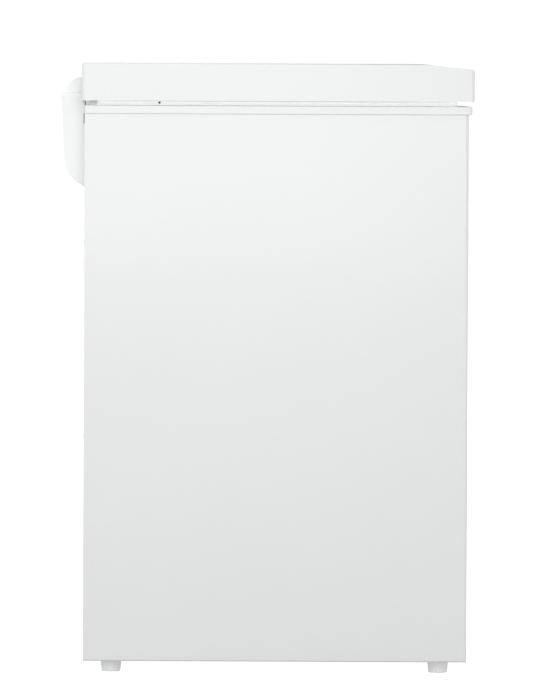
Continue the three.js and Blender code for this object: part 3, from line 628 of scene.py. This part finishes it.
# ---------------------------------------------------------------- compressor details
def compressor_details():
    """Weld bead round the shell, pinched process tube, and the clip of the terminal cover."""
    low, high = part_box("compressor_shell")
    cx, cy, _ = centre_of("compressor_shell")
    rx, ry = (high[0] - low[0]) / 2 - 0.010, (high[1] - low[1]) / 2 - 0.008
    z = low[2] + 0.62 * (high[2] - low[2])
    bead, facets = 1.2 * MM, 72
    bm = bmesh.new()
    ring = [Vector((cx + (rx + bead) * math.cos(a), cy + (ry + bead) * math.sin(a), z))
            for a in (TURN * i / facets for i in range(facets))]
    tube(bm, ring, 2.4 * MM, 8, closed=True)
    finish_piece("compressor_weld_seam", bm, "black", "cabinet")
    bm = bmesh.new()
    start = Vector((cx - 0.5 * rx, cy + 0.72 * ry, z + 0.018))
    elbow, end = start + Vector((-0.014, 0.018, 0.0)), start + Vector((-0.016, 0.022, 0.05))
    tube(bm, rounded([start, elbow, end], 8.0 * MM), 3.0 * MM, 10)
    lathe(bm, [(3.0 * MM, 0.0), (2.6 * MM, 3.0 * MM), (0.6 * MM, 7.0 * MM)], end, UP, 12)
    finish_piece("process_tube", bm, "copper", "cabinet")
    (_, cover_front, cover_low), (_, _, cover_high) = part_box("compressor_terminal_cover")
    mid = centre_of("compressor_terminal_cover")[0]
    z0, z1 = cover_low - 0.6 * MM, cover_high + 0.6 * MM
    y, leg = cover_front - 0.8 * MM, 0.020
    bm = bmesh.new()
    tube(bm, rounded([(mid, y + leg, z1), (mid, y, z1), (mid, y, z0), (mid, y + leg, z0)],
                     4.0 * MM), 0.9 * MM, 8)
    finish_piece("terminal_cover_clip", bm, "steel", "cabinet")


def sealant_blobs():
    """Butyl sealant where the tubes leave the foam."""
    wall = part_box("bay_panel")[0][0] + 1.1 * MM
    y_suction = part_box("suction_line")[1][1] - 4.0 * MM
    y_capillary = y_suction - 12.0 * MM
    bm = bmesh.new()
    for y, z in ((y_suction, 0.088), (y_capillary, 0.100)):
        lathe(bm, [(0.0, -0.6 * MM), (9.5 * MM, -0.6 * MM), (9.3 * MM, 0.8 * MM),
                   (7.6 * MM, 3.0 * MM), (5.6 * MM, 4.6 * MM), (4.4 * MM, 5.2 * MM)],
              (wall, y, z), (1, 0, 0), 24)
    finish_piece("tube_sealant", bm, "sealant", "cabinet")


# ---------------------------------------------------------------- controls
def knob():
    """Knurled thermostat knob with a raised grip and an index line."""
    cx, _, cz = centre_of("thermostat_knob")
    (_, front, _), (_, back, _) = KNOB
    disc = front + 6.4 * MM
    bm = bmesh.new()
    steps = ((back, 15.8, 0), (back, 16.9, 0.2), (back - 0.8 * MM, 17.0, 0.5),
             (disc + 1.0 * MM, 16.6, 0.5), (disc, 16.0, 0.1), (disc - 0.2 * MM, 14.0, 0),
             (disc + 0.1 * MM, 6.0, 0))
    loft(bm, [[Vector((cx + u, y, cz + v)) for u, v in ribbed_ring(r, depth, 36, 6)]
              for y, r, depth in steps])
    grip = []
    for y, wide, tall in ((disc + 0.6 * MM, 4.6, 15.4), (disc - 2.2 * MM, 4.0, 15.6),
                          (front + 0.8 * MM, 3.4, 15.2), (front + 0.1 * MM, 2.8, 14.4)):
        loop = rounded_loop(-wide * MM, wide * MM, -tall * MM, tall * MM, 2.6 * MM, 4)
        grip.append([Vector((cx + a, y, cz + b)) for a, b, _, _ in loop])
    loft(bm, grip)
    piece = finish_piece("knurled_knob", bm, "knob", "knob")
    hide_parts("thermostat_knob")
    bm = bmesh.new()
    slab(bm, (cx, cz), 0.5 * MM, 3.0 * MM, 14.0 * MM, 0.4 * MM, 3,
         (front + 0.3 * MM, front - 0.05 * MM))
    finish_piece("knob_index_line", bm, "print", "knob")


def dial_marks():
    """Printed scale round the knob: ticks that grow towards the cold end, and lamp rings."""
    cx, _, cz = centre_of("thermostat_knob")
    face = BEZEL[0][1]
    ticks, sweep, inner, half = 10, 270, 22.0, 0.45 * MM
    bm = bmesh.new()
    for i in range(ticks):
        a = math.radians(90 - sweep * i / (ticks - 1))
        direction = Vector((math.cos(a), 0, math.sin(a)))
        across = Vector((-math.sin(a), 0, math.cos(a))) * half
        start = Vector((cx, face, cz)) + direction * inner * MM
        end = start + direction * (1.6 + 0.28 * i) * MM
        ring = [start + across, start - across, end - across, end + across]
        loft(bm, [[p + Vector((0, 0.2 * MM, 0)) for p in ring],
                  [p - Vector((0, 0.06 * MM, 0)) for p in ring]])
    for lens in ("power_lamp_lens", "run_lamp_lens"):
        x, _, z = centre_of(lens)
        ring = circle(Vector((x, face, z)), Vector((1, 0, 0)), Vector(UP), 4.9 * MM, 36)
        tube(bm, ring, 0.35 * MM, 6, closed=True)
    finish_piece("dial_marks", bm, "print", "cabinet")


# ---------------------------------------------------------------- trims on the sheet metal
def lid_hem():
    """Folded hem along the lower edge of the lid skin, broken at the two hinge pockets."""
    (x0, y0, z0), (x1, y1, _) = LID
    gap, inset = 31.0 * MM, 1.15 * MM
    left, right = [centre_of(f"hinge_cover_{end}")[0] for end in SIDES]
    a, b = x0 + inset, x1 - inset
    front, rear = y0 + inset, y1 - inset
    runs = [[(left - gap, rear), (a, rear), (a, front), (b, front), (b, rear), (right + gap, rear)],
            [(left + gap, rear), (right - gap, rear)]]
    bm = bmesh.new()
    for run in runs:
        line = rounded([(x, y, z0 + 0.9 * MM) for x, y in run], 4.0 * MM, 5)
        tube(bm, line, 0.85 * MM, 10)
    finish_piece("lid_hem", bm, "lid_paint", "lid")


def drain_grips():
    """Grip bar on the outer drain cap and lifting loop on the inner plug."""
    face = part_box("drain_cap")[0][1]
    cx, _, cz = centre_of("drain_cap")
    bm = bmesh.new()
    slab(bm, (cx, cz), 9.0 * MM, -1.6 * MM, 1.6 * MM, 1.5 * MM, 4,
         (face + 0.3 * MM, face - 0.5 * MM))
    finish_piece("drain_cap_grip", bm, "rim", "drain_cap")
    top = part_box("drain_plug")[1][2]
    cx, cy, _ = centre_of("drain_plug")
    half, rise = 7.0 * MM, 6.0 * MM
    bm = bmesh.new()
    tube(bm, rounded([(cx - half, cy, top), (cx - half, cy, top + rise),
                      (cx + half, cy, top + rise), (cx + half, cy, top)], 3 * MM), 1.3 * MM, 8)
    finish_piece("drain_plug_loop", bm, "rim", "drain_plug")


gasket()
gasket_vent()
for node_name in ("foot_front_left", "foot_front_right", "foot_rear_left", "foot_rear_right"):
    foot(node_name)
wire_basket()
all_screws()
mount_nuts()
compressor_details()
sealant_blobs()
knob()
dial_marks()
lid_hem()
drain_grips()


# ---------------------------------------------------------------- stage, light and camera
def seen_or_lit(tree, seen, light, strength):
    """One strength for what the camera sees of the stage, another for the light it gives."""
    path = tree.nodes.new("ShaderNodeLightPath")
    tree.links.new(spread(tree, path.outputs["Is Camera Ray"], light, seen), strength)


def studio():
    """White backdrop and floor that look white and light the object only softly."""
    scene = bpy.context.scene
    scene.view_settings.view_transform = "Standard"
    world = bpy.data.worlds.new("studio_world")
    scene.world = world
    world.use_nodes = True
    back = world.node_tree.nodes["Background"]
    back.inputs["Color"].default_value = WHITE
    seen_or_lit(world.node_tree, BACKDROP_SEEN, BACKDROP_LIGHT, back.inputs["Strength"])
    mesh = bpy.data.meshes.new("floor")
    half = 30.0
    mesh.from_pydata([(-half, -half, 0), (half, -half, 0), (half, half, 0), (-half, half, 0)], [],
                     [(0, 1, 2, 3)])
    floor = bpy.data.objects.new("floor", mesh)
    scene.collection.objects.link(floor)
    paper = surface("pale_floor", (0.25, 0.25, 0.25), 0.8, 0.002, mottle=2.0)
    tree, shader = parts_of(paper)
    shader.inputs["Emission Color"].default_value = WHITE
    seen_or_lit(tree, FLOOR_SEEN, FLOOR_LIGHT, shader.inputs["Emission Strength"])
    mesh.materials.append(paper)


def soft_light(name, place, target, size, watts):
    data = bpy.data.lights.new(name, "AREA")
    data.shape = "RECTANGLE"
    data.size, data.size_y = size
    data.energy = watts
    light = bpy.data.objects.new(name, data)
    light.location = place
    light.rotation_euler = (Vector(target) - Vector(place)).to_track_quat("-Z", "Y").to_euler()
    bpy.context.scene.collection.objects.link(light)


def lights():
    soft_light("key", (-1.7, 0.16, 1.02), (-0.3, 0.03, 0.60), (1.2, 1.0), 7.8)
    soft_light("overhead", (0.0, -0.2, 3.0), (0.0, 0.0, 0.8), (1.6, 1.6), 6)
    for name, place in (("front_fill", (0.3, -3.0, 1.5)), ("right_fill", (3.0, 0.6, 1.5)),
                        ("rear_fill", (-0.4, 3.0, 1.5))):
        soft_light(name, place, (0.0, 0.0, 0.5), (1.6, 1.6), 8)


def camera():
    """Long lens at the left side, level with the top of the cabinet and turned by a hair."""
    distance, eye_height, roll = 14.0, 0.82, math.radians(0.25)
    picture_rows, per_row = 700, 1.392 * MM
    data = bpy.data.cameras.new("camera")
    data.sensor_fit = "AUTO"
    data.sensor_width = 36.0
    data.lens = data.sensor_width * distance / (picture_rows * per_row)
    data.clip_end = 100.0
    side = LID[0][0]
    aim = Vector((side, CABINET[0][1] + 0.2707, LID[1][2] - 0.3992))
    eye = Vector((side - distance, aim.y, eye_height))
    turned = (aim - eye).to_track_quat("-Z", "Y").to_matrix().to_4x4()
    cam = bpy.data.objects.new("camera", data)
    cam.matrix_world = Matrix.Translation(eye) @ turned @ Matrix.Rotation(roll, 4, "Z")
    bpy.context.scene.collection.objects.link(cam)
    bpy.context.scene.camera = cam


studio()
lights()
camera()
